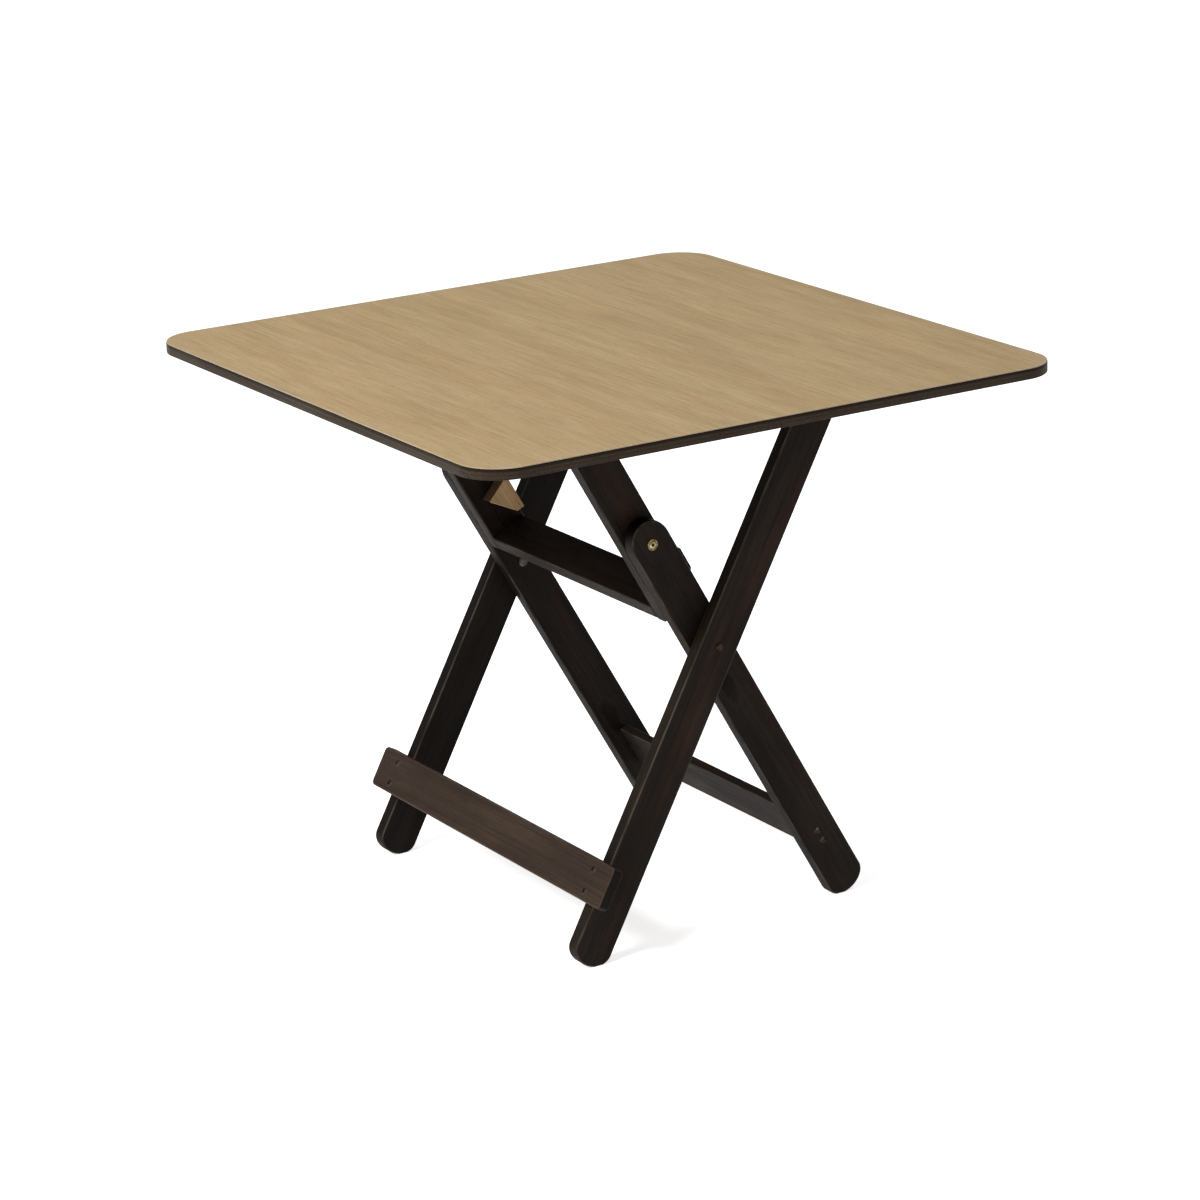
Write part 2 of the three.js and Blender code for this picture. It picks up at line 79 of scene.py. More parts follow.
# %% [markdown]
# ## How a board gets its soft edges
# A planed board is a flat outline with some thickness, and its corners are rubbed round with
# sandpaper. A Bevel modifier could round them, but it stumbles over bolt holes. We instead read
# the outline off the frame's own board, draw it as a stack of loops, and pull the first and last
# loops in along a quarter circle. Real rounding like this catches the light all along the edge.

# %% Helpers for outlines
def outline_of(points):
    """The outline round flat points, anticlockwise, without doubled or straight-through corners."""
    points = sorted(set((round(float(x), 6), round(float(y), 6)) for x, y in points))

    def turn(o, a, b):
        return (a[0] - o[0]) * (b[1] - o[1]) - (a[1] - o[1]) * (b[0] - o[0])

    chains = []
    for run in (points, points[::-1]):
        chain = []
        for p in run:
            while len(chain) > 1 and turn(chain[-2], chain[-1], p) <= 1e-9:
                chain.pop()
            chain.append(p)
        chains += chain[:-1]
    kept = []
    for p in chains:
        if not kept or math.dist(p, kept[-1]) > 0.0003:
            kept.append(p)
    return kept


def pulled_in(outline, distance):
    """The same outline with every side moved inwards."""
    moved = []
    for i, here in enumerate(outline):
        before, after = Vector(outline[i - 1]), Vector(outline[(i + 1) % len(outline)])
        here = Vector(here)
        first = (here - before).normalized()
        second = (after - here).normalized()
        square_1, square_2 = Vector((-first.y, first.x)), Vector((-second.y, second.x))
        middle = (square_1 + square_2).normalized()
        moved.append(here + middle * (distance / max(0.3, middle.dot(square_1))))
    return moved


def frame_points(node):
    """The corners of a frame part, as rows of x, y, z."""
    return np.array([v.co for v in frame["nodes"][node].data.vertices], float)


print("outline helper on a unit square:", outline_of([(0, 0), (1, 0), (1, 1), (0, 1), (0.5, 0.5)]))

# %% [markdown]
# ## From loops to a finished piece
# Every piece ends the same way. It is shaded smooth with its crisp edges marked, it rides on a
# body of the frame, and it stands for the frame's part. Two things are stored on its corners: a
# place inside the board, so that grain runs along it, and how near the corner is to an edge, so
# that the finish can wear there and paint a highlight along it. Each board's place starts somewhere else,
# so no two look alike.

# %% Helpers that finish a mesh
def mark_crisp_edges(mesh, angle=38):
    """Smooth shading, apart from edges that turn more than this."""
    shape = bmesh.new()
    shape.from_mesh(mesh)
    bmesh.ops.recalc_face_normals(shape, faces=shape.faces)
    for face in shape.faces:
        face.smooth = True
    for edge in shape.edges:
        edge.smooth = len(edge.link_faces) == 2 and edge.calc_face_angle(0) < math.radians(angle)
    shape.to_mesh(mesh)
    shape.free()


def store_places(mesh, axes, wear_dirt_and_painted_light_by_corner, start=None):
    """Keeps each corner's place along, across and through the board, how much edge wear, dirt and
    painted light it gets, and for each face whether it cuts across the grain."""
    start = start or Vector([random.uniform(-5, 5) for _ in range(3)])
    mesh.attributes.new("place", "FLOAT_VECTOR", "POINT")
    mesh.attributes.new("wear_dirt_and_painted_light", "FLOAT", "POINT")
    mesh.attributes.new("end grain", "FLOAT", "FACE")
    place, wear_dirt_and_painted_light = mesh.attributes["place"].data, mesh.attributes["wear_dirt_and_painted_light"].data
    for i, face in enumerate(mesh.polygons):
        mesh.attributes["end grain"].data[i].value = abs(face.normal.dot(axes[0]))
    for i, corner in enumerate(mesh.vertices):
        place[i].vector = start + Vector([corner.co.dot(axis) for axis in axes])
        wear_dirt_and_painted_light[i].value = wear_dirt_and_painted_light_by_corner.get(tuple(round(c, 5) for c in corner.co), 0.0)
    return start


waiting = {}  # pieces by the name of the finish they still need


def finish_piece(mesh, node, body, slot):
    """Puts a made mesh into the scene in the place of one frame part, to be painted later."""
    piece = bpy.data.objects.new(node + "_made", mesh)
    bpy.context.scene.collection.objects.link(piece)
    evened = piece.modifiers.new("even normals", "WEIGHTED_NORMAL")
    evened.keep_sharp = True
    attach(piece, body)
    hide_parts(node)
    waiting.setdefault(slot, []).append(piece)
    return piece


def stacked(loops, closed_ends=True):
    """A mesh through loops of equally many corners, each given with how much wear, dirt and painted light
    its corners get.
    """
    shape = bmesh.new()
    wear_dirt_and_painted_light_by_corner = {}
    rows = []
    for corners, wear_dirt_and_painted_light in loops:
        rows.append([shape.verts.new(c) for c in corners])
        for c in corners:
            wear_dirt_and_painted_light_by_corner[tuple(round(x, 5) for x in c)] = wear_dirt_and_painted_light
    count = len(rows[0])
    pairs = list(zip(rows, rows[1:])) if closed_ends else list(zip(rows, rows[1:] + rows[:1]))
    for lower, upper in pairs:
        for i in range(count):
            j = (i + 1) % count
            shape.faces.new((lower[i], lower[j], upper[j], upper[i]))
    if closed_ends:
        shape.faces.new(rows[0][::-1])
        shape.faces.new(rows[-1])
    mesh = bpy.data.meshes.new("shape")
    shape.to_mesh(mesh)
    shape.free()
    return mesh, wear_dirt_and_painted_light_by_corner


print("mesh helpers ready")

# %% [markdown]
# ## Drilling
# Nail heads sit in shallow holes and the hinge screws in deeper ones. We drill with a Boolean
# modifier and keep only its result, so the finished board is a plain mesh again.

# %% Helpers that drill a board
NAIL_HOLE_DEPTH = 0.0012
NAIL_HOLE_ROOM = 0.0002
HINGE_SCREW_HOLE = 0.0033
HINGE_SCREW_DEPTH = 0.0034
HINGE_SCREW_ROOM = 0.0006
RAIL_SCREW_HOLE = 0.0043
RAIL_SCREW_EXTRA = 0.0025


def drill_bit(start, direction, radius, depth, mouth=None):
    """A closed cone or cylinder from outside the board down to the bottom of a hole."""
    direction = direction.normalized()
    side = direction.orthogonal().normalized()
    other = direction.cross(side)
    ends = [(-0.004, mouth or radius), (0.0, mouth or radius), (depth, radius)]
    loops = []
    for distance, r in ends:
        ring = []
        for i in range(24):
            a = math.tau * i / 24
            ring.append(start + direction * distance + side * (r * math.cos(a)) + other * (r * math.sin(a)))
        loops.append((ring, 0.0))
    return stacked(loops)[0]


def drilled(mesh, bits):
    """The mesh with every bit's hole cut out."""
    board = bpy.data.objects.new("board_blank", mesh)
    bpy.context.scene.collection.objects.link(board)
    tools = []
    for bit in bits:
        tool = bpy.data.objects.new("bit", bit)
        bpy.context.scene.collection.objects.link(tool)
        tools.append(tool)
        hole = board.modifiers.new("hole", "BOOLEAN")
        hole.operation, hole.solver, hole.object = "DIFFERENCE", "EXACT", tool
    bpy.context.view_layer.update()
    result = bpy.data.meshes.new_from_object(board.evaluated_get(bpy.context.evaluated_depsgraph_get()))
    for spare in tools + [board]:
        bpy.data.objects.remove(spare)
    return result


def radius_of(points, direction):
    """Half the width of some corners, measured square to an axis."""
    return float(np.ptp(points @ np.array(direction.orthogonal().normalized()))) / 2


def head_of(node, direction):
    """The middle of a nail's outer face. direction points from its head to its tip."""
    points = frame_points(node)
    reach = points @ np.array(direction)
    outer = points[reach < reach.min() + 1e-5]
    return Vector((outer.min(0) + outer.max(0)) / 2), radius_of(outer, direction)


print("drill ready")

# %% [markdown]
# ## The board cutter
# One function makes every board. It takes the frame part, the direction of its length, the
# direction across its width, and the radius of its rubbed edges.

# %% Cut a board
def cut_board(node, body, slot, length_way, width_way, rubbed=0.0016, bits=()):
    through = length_way.cross(width_way)
    axes = (length_way, width_way, through)
    points = frame_points(node)
    flat = np.stack([points @ np.array(length_way), points @ np.array(width_way)], 1)
    depth = points @ np.array(through)
    outline = outline_of(flat)
    low, high = float(depth.min()), float(depth.max())

    def loop(distance_in, level):
        corners = pulled_in(outline, distance_in)
        return [length_way * x + width_way * y + through * level for x, y in corners]

    steps = 4
    loops = []
    for i in range(steps + 1):
        a = math.pi / 2 * i / steps
        wear_dirt_and_painted_light = math.sin(2 * a)
        loops.append((loop(rubbed * (1 - math.sin(a)), low + rubbed * (1 - math.cos(a))), wear_dirt_and_painted_light))
    loops += [
        (loop(rubbed * (1 - math.sin(a)), high - rubbed * (1 - math.cos(a))), math.sin(2 * a))
        for a in [math.pi / 2 * i / steps for i in range(steps, -1, -1)]
    ]
    mesh, wear_dirt_and_painted_light_by_corner = stacked(loops)
    if bits:
        mesh = drilled(mesh, bits)
    mark_crisp_edges(mesh)
    start = store_places(mesh, axes, wear_dirt_and_painted_light_by_corner)
    finish_piece(mesh, node, body, slot)
    size = [max(flat[:, 0]) - min(flat[:, 0]), max(flat[:, 1]) - min(flat[:, 1]), high - low]
    print(node, "mm:", [round(float(s) * 1000, 1) for s in size])
    return start, axes


# %% [markdown]
# ## The lathe
# Bolts, rivets, washers and nails are all turned shapes: a profile spun round an axis. A cylinder
# primitive would have dead straight sides, so we write each profile out, with domed heads and
# tiny fillets. Each profile point carries a third number, how dark the finish goes there: dirt, and painted
# shade in hollows and under heads.

# %% Turn a fastener
def spun(node, body, slot, profile, centre, direction, segments=40):
    """profile rows are distance along direction, radius, and dirt with painted shade, all from the centre
    point.
    """
    direction = direction.normalized()
    side = direction.orthogonal().normalized()
    other = direction.cross(side)
    ring_closed = profile[0][:2] == profile[-1][:2]
    rows = profile[:-1] if ring_closed else profile
    loops = []
    for distance, radius, dirt_and_painted_shade in rows:
        radius = max(radius, 0.00004)
        ring = [
            centre + direction * distance
            + side * (radius * math.cos(math.tau * i / segments))
            + other * (radius * math.sin(math.tau * i / segments))
            for i in range(segments)
        ]
        loops.append((ring, dirt_and_painted_shade))
    mesh, dirt_and_painted_shade = stacked(loops, closed_ends=not ring_closed)
    mark_crisp_edges(mesh, 44)
    store_places(mesh, (direction, side, other), dirt_and_painted_shade)
    return finish_piece(mesh, node, body, slot)


def middle_of(node):
    low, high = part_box(node)
    return (low + high) / 2


print("lathe ready")

# %% [markdown]
# # Making the pieces
# ## The top
# The top is three pieces: a printed sheet, a core, and a band round the edge. The
# sheet and the band follow a rectangle with round corners. Drawing it ourselves, with more steps
# round each corner than the frame has, keeps the corner smooth in a close view.

# %% Helper for the rounded rectangle
top_low, top_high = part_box("tabletop_edge_band")
HALF_LENGTH, HALF_WIDTH = top_high.x, top_high.y
straight = frame_points("tabletop_edge_band")
CORNER = HALF_LENGTH - max(abs(p[0]) for p in straight if abs(abs(p[1]) - HALF_WIDTH) < 1e-5)


def rounded_loop(inwards, level, steps=20):
    """Corners of the tabletop's outline, pulled in by a distance, at a height."""
    x, y, r = HALF_LENGTH - inwards, HALF_WIDTH - inwards, CORNER - inwards
    corners = []
    for quarter, (sx, sy) in enumerate([(1, 1), (-1, 1), (-1, -1), (1, -1)]):
        for i in range(steps + 1):
            a = math.pi / 2 * (quarter + i / steps)
            corners.append(Vector((sx * (x - r) + r * math.cos(a), sy * (y - r) + r * math.sin(a), level)))
    return corners


print("tabletop corner radius, mm:", round(CORNER * 1000, 1))

# %% Make the printed sheet
sheet_low, sheet_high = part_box("tabletop_laminate")
gap_in = HALF_LENGTH - sheet_high.x
ease = 0.0004
loops = [(rounded_loop(gap_in, sheet_low.z), 0.4)]
for i in range(4):
    a = math.pi / 2 * i / 3
    inwards, level = gap_in + ease * (1 - math.cos(a)), sheet_high.z - ease * (1 - math.sin(a))
    loops.append((rounded_loop(inwards, level), 1.0))
loops.append((rounded_loop(gap_in + 0.0012, sheet_high.z), 0.55))
loops.append((rounded_loop(gap_in + 0.0042, sheet_high.z), 0.0))
mesh, wear_dirt_and_painted_light_by_corner = stacked(loops)
mark_crisp_edges(mesh)
store_places(mesh, (SIDEWAYS, -BACKWARDS, UPWARDS), wear_dirt_and_painted_light_by_corner)
finish_piece(mesh, "tabletop_laminate", "tabletop", "oak_laminate")
print("sheet thickness, mm:", round((sheet_high.z - sheet_low.z) * 1000, 2))

# %% Make the edge band
band_thick = 0.0016
ease = 0.0009
upper_ease = 0.6 * ease
profile = [(band_thick, top_low.z, 0.0)]
for i in range(4):
    a = math.pi / 2 * i / 3
    profile.append((ease * (1 - math.sin(a)), top_low.z + ease * (1 - math.cos(a)), math.sin(2 * a)))
for i in range(4):
    a = math.pi / 2 * (1 - i / 3)
    inwards, level = upper_ease * (1 - math.sin(a)), top_high.z - upper_ease * (1 - math.cos(a))
    profile.append((inwards, level, 0.4 * math.sin(2 * a)))
profile.append((band_thick, top_high.z, 0.0))
loops = [(rounded_loop(inwards, level), share) for inwards, level, share in profile]
mesh, wear_dirt_and_painted_light_by_corner = stacked(loops, closed_ends=False)
mark_crisp_edges(mesh)
store_places(mesh, (SIDEWAYS, -BACKWARDS, UPWARDS), wear_dirt_and_painted_light_by_corner, start=Vector((0, 0, -top_low.z)))
finish_piece(mesh, "tabletop_edge_band", "tabletop", "dark_edge")
print("band height, mm:", round((top_high.z - top_low.z) * 1000, 2))

# %% [markdown]
# ## Core and hinge rails
# The core is a plain sheet that only shows from below. Two rails are screwed up into it, and the
# legs and struts hinge on their ends. Each rail is drilled for its screws.

# %% Make the core and the rails
cut_board("tabletop_board", "tabletop", "board_core", SIDEWAYS, -BACKWARDS, rubbed=0.0005)
rails = ("back_hinge_rail", "front_hinge_rail")
for rail in rails:
    bits = []
    for number in (1, 2, 3):
        screw_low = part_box(f"{rail}_screw_{number}")[0]
        start = middle_of(f"{rail}_screw_{number}")
        start.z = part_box(rail)[0].z
        depth = screw_low.z - start.z + RAIL_SCREW_EXTRA
        bits.append(drill_bit(start, UPWARDS, RAIL_SCREW_HOLE, depth))
    cut_board(rail, "tabletop", "dark_wood", SIDEWAYS, UPWARDS, 0.0015, bits)

# %% [markdown]
# ## Legs and struts
# Six boards of one width and thickness. The outer legs slope one way, and the inner legs and
# struts the other.
# Their feet and knees are round, which comes with the outline. Where a nail goes in, we drill.

# %% Cut the legs and struts
sides = (("left", 1), ("right", -1))
nail_spots = {"dark_wood": [], "brown_wood": []}
knot_spots = []
for side, sign in sides:
    inwards = Vector((0, -sign, 0))
    cut_board(f"outer_leg_{side}", "outer_legs", "dark_wood", outer_up, outer_back)
    bits, spots = [], []
    for number in (1, 2):
        spot, radius = head_of(f"back_nail_{side}_{number}", inwards)
        spots.append(spot)
        bits.append(drill_bit(spot, inwards, radius + NAIL_HOLE_ROOM, NAIL_HOLE_DEPTH))
    start, axes = cut_board(f"inner_leg_{side}", "inner_legs", "dark_wood", inner_up, inner_back, bits=bits)
    nail_spots["dark_wood"] += [start + Vector([spot.dot(axis) for axis in axes]) for spot in spots]
    below_crossing = 0.2 if side == "left" else 0.045
    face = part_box(f"inner_leg_{side}")[0].y
    along = crossing.dot(inner_up) - below_crossing
    across = crossing.dot(inner_back) - 0.005
    knot_spots.append(start + Vector((along, across, face)))
    bits = []
    for number in (1, 2):
        spot, radius = head_of(f"crossbar_nail_{side}_{number}", inwards)
        bits.append(drill_bit(spot, inwards, radius + NAIL_HOLE_ROOM, NAIL_HOLE_DEPTH))
    spot, radius = head_of(f"front_hinge_screw_{side}", inwards)
    mouth = radius + HINGE_SCREW_ROOM
    bits.append(drill_bit(spot, inwards, HINGE_SCREW_HOLE, HINGE_SCREW_DEPTH, mouth))
    cut_board(f"strut_{side}", "knee_struts", "dark_wood", inner_up, inner_back, bits=bits)

# %% [markdown]
# ## Stretchers and crossbar
# The front stretcher is nailed over the edges of the outer legs and is the one brown board. The
# other two sit between the legs and the struts. We write down where each nail sits in its board's
# own grain, because the finish will draw a small bruise round it.

# %% Cut the boards that run across
bits = []
spots = []
for side, sign in sides:
    for number in (1, 2):
        spot, radius = head_of(f"front_nail_{side}_{number}", outer_back)
        spots.append(spot)
        bits.append(drill_bit(spot, outer_back, radius + NAIL_HOLE_ROOM, NAIL_HOLE_DEPTH))
start, axes = cut_board("front_stretcher", "outer_legs", "brown_wood", SIDEWAYS, outer_up, 0.0014, bits)
nail_spots["brown_wood"] = [start + Vector([spot.dot(axis) for axis in axes]) for spot in spots]
cut_board("back_stretcher", "inner_legs", "dark_wood", SIDEWAYS, inner_up, 0.0012)
cut_board("crossbar", "knee_struts", "dark_wood", SIDEWAYS, inner_back, 0.0014)

# %% [markdown]
# ## Cleats and backing blocks
# A small cleat sits on each strut's back edge, just below the knee, and an offcut of bare wood on
# the strut's inner face. What they are for is our guess: a stop for the knee, and its backing.

# %% Cut the small pieces
for side, sign in sides:
    cut_board(f"stop_cleat_{side}", "knee_struts", "dark_wood", inner_up, inner_back, 0.0009)
    cut_board(f"backing_block_{side}", "knee_struts", "bare_wood", inner_up, inner_back, 0.001)

# %% [markdown]
# ## Nails and screws
# A nail has a low domed head with a shank under it, and a point. The same profile, a little
# fatter and with a driver's recess in its head, makes the rail screws.

# %% Turn the nails and rail screws
def nail_profile(radius, shank, length):
    head = 0.0009
    return [
        (0.00006, 0.0, 0.5), (0.00003, radius * 0.55, 0.2), (0.0001, radius * 0.85, 0.1),
        (0.0003, radius, 0.6),
        (head, radius * 0.96, 1.0), (head, shank, 1.0), (length - shank * 2.5, shank, 0.3),
        (length - shank, shank * 0.6, 0.3), (length, 0.0, 0.3),
    ]


def turn_nail(node, body, slot, direction, recess=0.0):
    points = frame_points(node)
    reach = points @ np.array(direction)
    spot, radius = head_of(node, direction)
    length = float(reach.max() - reach.min())
    thin = points[reach > reach.min() + 0.4 * length]
    shank = radius_of(thin, direction)
    profile = nail_profile(radius, shank, length)
    if recess:
        hollow = [(recess, 0.0, 1.0), (recess * 0.8, radius * 0.3, 1.0), (0.0, radius * 0.42, 0.3)]
        profile = hollow + profile[2:]
    return spun(node, body, slot, profile, spot, direction)


count = 0
for side, sign in sides:
    inwards = Vector((0, -sign, 0))
    for number in (1, 2):
        turn_nail(f"front_nail_{side}_{number}", "outer_legs", "dark_steel", outer_back)
        turn_nail(f"back_nail_{side}_{number}", "inner_legs", "dark_steel", inwards)
        turn_nail(f"crossbar_nail_{side}_{number}", "knee_struts", "dark_steel", inwards)
        count += 3
for rail in rails:
    for number in (1, 2, 3):
        turn_nail(f"{rail}_screw_{number}", "tabletop", "steel", UPWARDS, recess=0.0012)
        count += 1
print("nails and screws turned:", count)

# %% [markdown]
# ## Bolts, rivets and washers
# The knee turns on a hollow brass rivet: a bright rolled ring with a dark hole in the middle. The
# legs cross on a steel bolt with a low dome inside, and the hinges have larger domed bolts. A
# washer fills each gap between two boards.

# %% Turn the bolts, rivets and washers
def reach_of(node, sign):
    """How far out a turned part starts and ends, measured from the outside in."""
    low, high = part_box(node)
    return (high.y, low.y) if sign > 0 else (-low.y, -high.y)


def turn_across(node, body, slot, sign, rows):
    """rows are distance out from the table's middle, radius and dirt."""
    centre = middle_of(node)
    centre.y = 0
    return spun(node, body, slot, rows, centre, Vector((0, sign, 0)))


def wide(node):
    low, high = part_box(node)
    return (high.z - low.z) / 2


mm = 0.001
for side, sign in sides:
    node = f"knee_bolt_{side}"
    out, tip = reach_of(node, sign)
    r = wide(node)
    # The rivet's hole and the underside of its rim get the highest number: dirt and painted shade in the
    # hollow.
    turn_across(node, "inner_legs", "brass", sign, [
        (tip, 0, 0), (tip, 3 * mm, 0), (out - 1 * mm, 3 * mm, 1), (out - 1 * mm, r - 0.2 * mm, 1),
        (out - 0.85 * mm, r, 0.9), (out - 0.6 * mm, r - 0.2 * mm, 0.7), (out - 0.5 * mm, r - 0.7 * mm, 0.5),
        (out - 0.5 * mm, r - 1.9 * mm, 0.75), (out - 0.3 * mm, r - 2.2 * mm, 0.2),
        (out - 0.06 * mm, r - 2.6 * mm, 0),
        (out, r - 3 * mm, 0), (out - 0.08 * mm, r - 3.5 * mm, 0), (out - 0.4 * mm, r - 4 * mm, 0.6),
        (out - 1 * mm, r - 4.3 * mm, 1), (out - 1.6 * mm, r - 4.4 * mm, 1), (out - 1.6 * mm, 0, 1),
    ])
    node = f"knee_cap_{side}"
    out, inner = reach_of(node, sign)
    r = wide(node)
    turn_across(node, "knee_struts", "steel", sign, [
        (inner, 0, 0), (inner + 0.1 * mm, 2.2 * mm, 0), (inner + 0.5 * mm, 4 * mm, 0),
        (inner + 1.2 * mm, r - 0.5 * mm, 0.1),
        (inner + 1.9 * mm, r - 0.1 * mm, 0.3), (inner + 2.4 * mm, r, 0.9), (inner + 2.4 * mm, 3 * mm, 1),
        (out, 3 * mm, 0), (out, 0, 0),
    ])
    node = f"cross_bolt_{side}"
    out, inner = reach_of(node, sign)
    r = wide(node)
    turn_across(node, "outer_legs", "steel", sign, [
        (inner, 0, 0), (inner + 0.05 * mm, 1.4 * mm, 0), (inner + 0.25 * mm, 3.1 * mm, 0),
        (inner + 0.6 * mm, 4.4 * mm, 0.1), (inner + 1 * mm, r, 0.6), (inner + 1.2 * mm, r, 1),
        (inner + 1.2 * mm, 3 * mm, 1), (out - 0.9 * mm, 3 * mm, 1),
        (out - 0.9 * mm, 4.2 * mm, 1), (out - 0.6 * mm, 4.1 * mm, 1), (out - 0.25 * mm, 3.2 * mm, 1),
        (out - 0.05 * mm, 1.6 * mm, 0.95), (out, 0, 0.95),
    ])
    node = f"back_hinge_bolt_{side}"
    out, inner = reach_of(node, sign)
    r = wide(node)
    turn_across(node, "tabletop", "steel", sign, [
        (inner, 0, 0), (inner + 2 * mm, 3 * mm, 0), (out - 3.2 * mm, 3 * mm, 1), (out - 3.2 * mm, r, 1),
        (out - 2.7 * mm, r, 0.6), (out - 1.8 * mm, r - 0.7 * mm, 0.1), (out - 0.9 * mm, r - 2 * mm, 0),
        (out - 0.3 * mm, r - 3.8 * mm, 0), (out, 0, 0),
    ])
    node = f"front_hinge_screw_{side}"
    out, inner = reach_of(node, sign)
    r = wide(node)
    turn_across(node, "tabletop", "steel", sign, [
        (inner, 0, 0), (inner + 2 * mm, 3 * mm, 0), (out - 3.2 * mm, 3 * mm, 1), (out - 0.5 * mm, r, 0.8),
        (out - 0.15 * mm, r, 0.3), (out, r - 0.2 * mm, 0.1), (out, r * 0.45, 0.2),
        (out - 1 * mm, r * 0.3, 1),
        (out - 1.2 * mm, 0, 1),
    ])
    bodies = (("cross_washer", "outer_legs"), ("knee_washer", "knee_struts"),
              ("back_hinge_washer", "tabletop"), ("front_hinge_washer", "tabletop"))
    for kind, body in bodies:
        node = f"{kind}_{side}"
        out, inner = reach_of(node, sign)
        r, hole, soft = wide(node), 3.35 * mm, 0.2 * mm
        turn_across(node, body, "dark_steel", sign, [
            (inner, hole, 1), (inner, r - soft, 0.3), (inner + soft, r, 0), (out - soft, r, 0),
            (out, r - soft, 0.3), (out, hole, 1), (inner, hole, 1),
        ])

# %% [markdown]
# # Finishes
# ## Helpers for node trees
# Shader nodes are boxes joined by wires. Writing them by hand in Python is long-winded, so six
# helpers shorten it: they add a box and fill its sockets, do sums on numbers and on vectors, mix
# two colours, stretch a range, and turn a paint-chart colour into the numbers that nodes use.

# %% Helpers for shader nodes
def add(tree, kind, inputs=None, **settings):
    """A node with its settings, and its inputs set to values or wired to other sockets."""
    box = tree.nodes.new(kind)
    for key, value in settings.items():
        setattr(box, key, value)
    for key, value in (inputs or {}).items():
        if isinstance(value, bpy.types.NodeSocket):
            tree.links.new(value, box.inputs[key])
        else:
            box.inputs[key].default_value = value
    return box


def sums(tree, what, a, b=0.0, c=0.0):
    return add(tree, "ShaderNodeMath", {0: a, 1: b, 2: c}, operation=what).outputs[0]


def vectors(tree, what, a, b):
    return add(tree, "ShaderNodeVectorMath", {0: a, 1: b}, operation=what).outputs[0]


def mixed(tree, amount, a, b):
    return add(tree, "ShaderNodeMix", {0: amount, 6: a, 7: b}, data_type="RGBA").outputs[2]


def ranged(tree, value, low, high, to_low=0.0, to_high=1.0):
    inputs = {"Value": value, "From Min": low, "From Max": high, "To Min": to_low, "To Max": to_high}
    return add(tree, "ShaderNodeMapRange", inputs, interpolation_type="SMOOTHSTEP").outputs[0]


def paint(red, green, blue):
    """A colour from the 0 to 255 numbers of a paint chart, as the linear values that nodes use."""
    linear = [((c / 255 + 0.055) / 1.055) ** 2.4 if c > 10 else c / 3295 for c in (red, green, blue)]
    return (*linear, 1.0)


print("paint(180, 148, 105) is", [round(c, 3) for c in paint(180, 148, 105)])

# %% [markdown]
# ## Shared effects as node groups
# Grain, stain and rubbed edges show up in several finishes. A node group is a small machine with
# named inputs and outputs: we build it once, then place it in each material with other numbers.

# %% Helper that opens a node group
def open_group(name, inputs, outputs):
    tree = bpy.data.node_groups.new(name, "ShaderNodeTree")
    for label, kind, value in inputs:
        socket = tree.interface.new_socket(label, in_out="INPUT", socket_type="NodeSocket" + kind)
        if value is not None:
            socket.default_value = value
    for label, kind in outputs:
        tree.interface.new_socket(label, in_out="OUTPUT", socket_type="NodeSocket" + kind)
    return tree, tree.nodes.new("NodeGroupInput").outputs, tree.nodes.new("NodeGroupOutput").inputs


def use(tree, group, **inputs):
    """Places a group in a material. Returns its outputs by name."""
    named = {key.replace("_", " "): value for key, value in inputs.items()}
    return add(tree, "ShaderNodeGroup", named, node_tree=group).outputs


def noise(tree, place, scale, detail=3.0, rough=0.55):
    """Cloudy noise. scale is how many blobs fit in a metre along, across and through the board."""
    stretched = vectors(tree, "MULTIPLY", place, scale)
    inputs = {"Vector": stretched, "Scale": 1.0, "Detail": detail, "Roughness": rough}
    return add(tree, "ShaderNodeTexNoise", inputs).outputs[0]


# %% [markdown]
# ### Straight grain
# Wood cut along the tree shows broad soft streaks, fine lines, and the short dark dashes of open
# pores. All three are noise that is squeezed across the board and pulled out along it. A little
# slow waviness is added to the place first, because no tree grows perfectly straight.

# %% Group: straight grain
straight_grain, given, made = open_group(
    "Straight grain",
    [("Place", "Vector", None), ("Waviness", "Float", 0.0035), ("Shortness", "Float", 1.0)],
    [("Streaks", "Float"), ("Lines", "Float"), ("Pores", "Float")],
)
tree = straight_grain
slow = noise(tree, given["Place"], (1.6, 9, 9), 2.0)
squeeze = add(tree, "ShaderNodeCombineXYZ", {0: given["Shortness"], 1: 1.0, 2: 1.0}).outputs[0]
shift = sums(tree, "MULTIPLY", sums(tree, "SUBTRACT", slow, 0.5), given["Waviness"])
shift_way = add(tree, "ShaderNodeCombineXYZ", {1: shift, 2: shift}).outputs[0]
wavy = vectors(tree, "MULTIPLY", vectors(tree, "ADD", given["Place"], shift_way), squeeze)
streaks = ranged(tree, noise(tree, wavy, (2.2, 70, 70), 4.0, 0.6), 0.34, 0.66)
lines = ranged(tree, noise(tree, wavy, (7, 620, 620), 4.0, 0.6), 0.36, 0.66)
pores = ranged(tree, noise(tree, wavy, (75, 2100, 2100), 1.0, 0.5), 0.62, 0.74)
tree.links.new(streaks, made["Streaks"])
tree.links.new(lines, made["Lines"])
tree.links.new(pores, made["Pores"])
print("group made:", straight_grain.name, len(tree.nodes), "nodes")

# %% [markdown]
# ### Stain that took unevenly
# Brushed stain soaks in more here and less there. This group gives large soft patches, and a
# second, warmer set where the red of the wood shows through.

# %% Group: uneven stain
uneven_stain, given, made = open_group(
    "Uneven stain",
    [("Place", "Vector", None)],
    [("Patches", "Float"), ("Warmth", "Float"), ("Specks", "Float")],
)
tree = uneven_stain
tree.links.new(ranged(tree, noise(tree, given["Place"], (7, 24, 24), 3.0), 0.36, 0.64), made["Patches"])
tree.links.new(ranged(tree, noise(tree, given["Place"], (4, 55, 40), 3.0), 0.5, 0.72), made["Warmth"])
tree.links.new(ranged(tree, noise(tree, given["Place"], (420, 900, 900), 1.0), 0.66, 0.74), made["Specks"])
print("group made:", uneven_stain.name)
